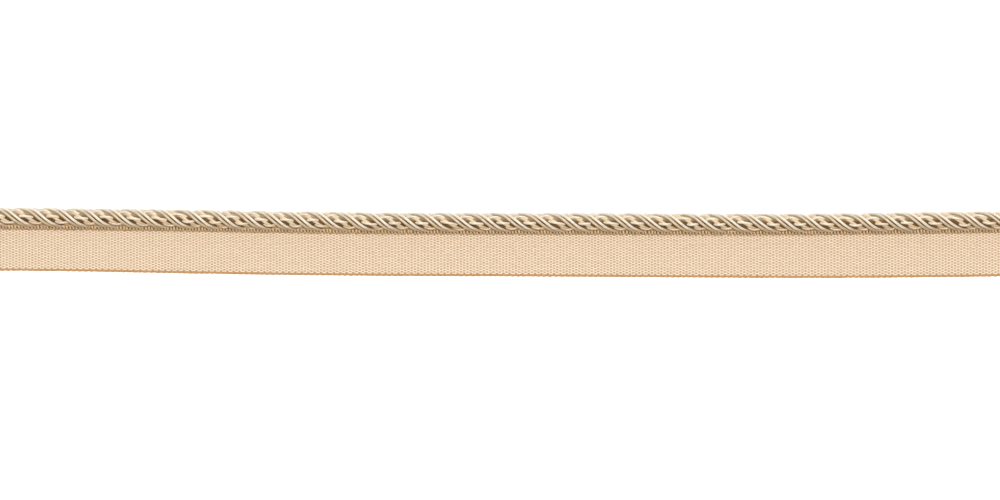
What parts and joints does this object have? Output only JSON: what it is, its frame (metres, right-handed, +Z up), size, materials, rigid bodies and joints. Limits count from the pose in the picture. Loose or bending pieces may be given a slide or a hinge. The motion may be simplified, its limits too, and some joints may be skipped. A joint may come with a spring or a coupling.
{
  "type": "cut length of corded piping trim",
  "caption": "Cut length of cream corded piping trim: a twisted cord of shiny and wrapped yarns along the edge of a narrow ribbed woven tape, lying flat with plainly cut ends.",
  "frame": {"origin": "centre of the underside of the trim's bounding box, on the surface it lies on", "axes": "X runs along the trim, +Y points from the tape to the cord, Z is up"},
  "size_m": [0.25, 0.0169, 0.0046],
  "materials": {
    "cord_yarn": "satin rayon-like yarn",
    "tape_yarn": "low satin ribbed weave"
  },
  "bodies": {
    "root": {"twisted_cord": "cord_yarn", "woven_tape": "tape_yarn"}
  },
  "joints": []
}
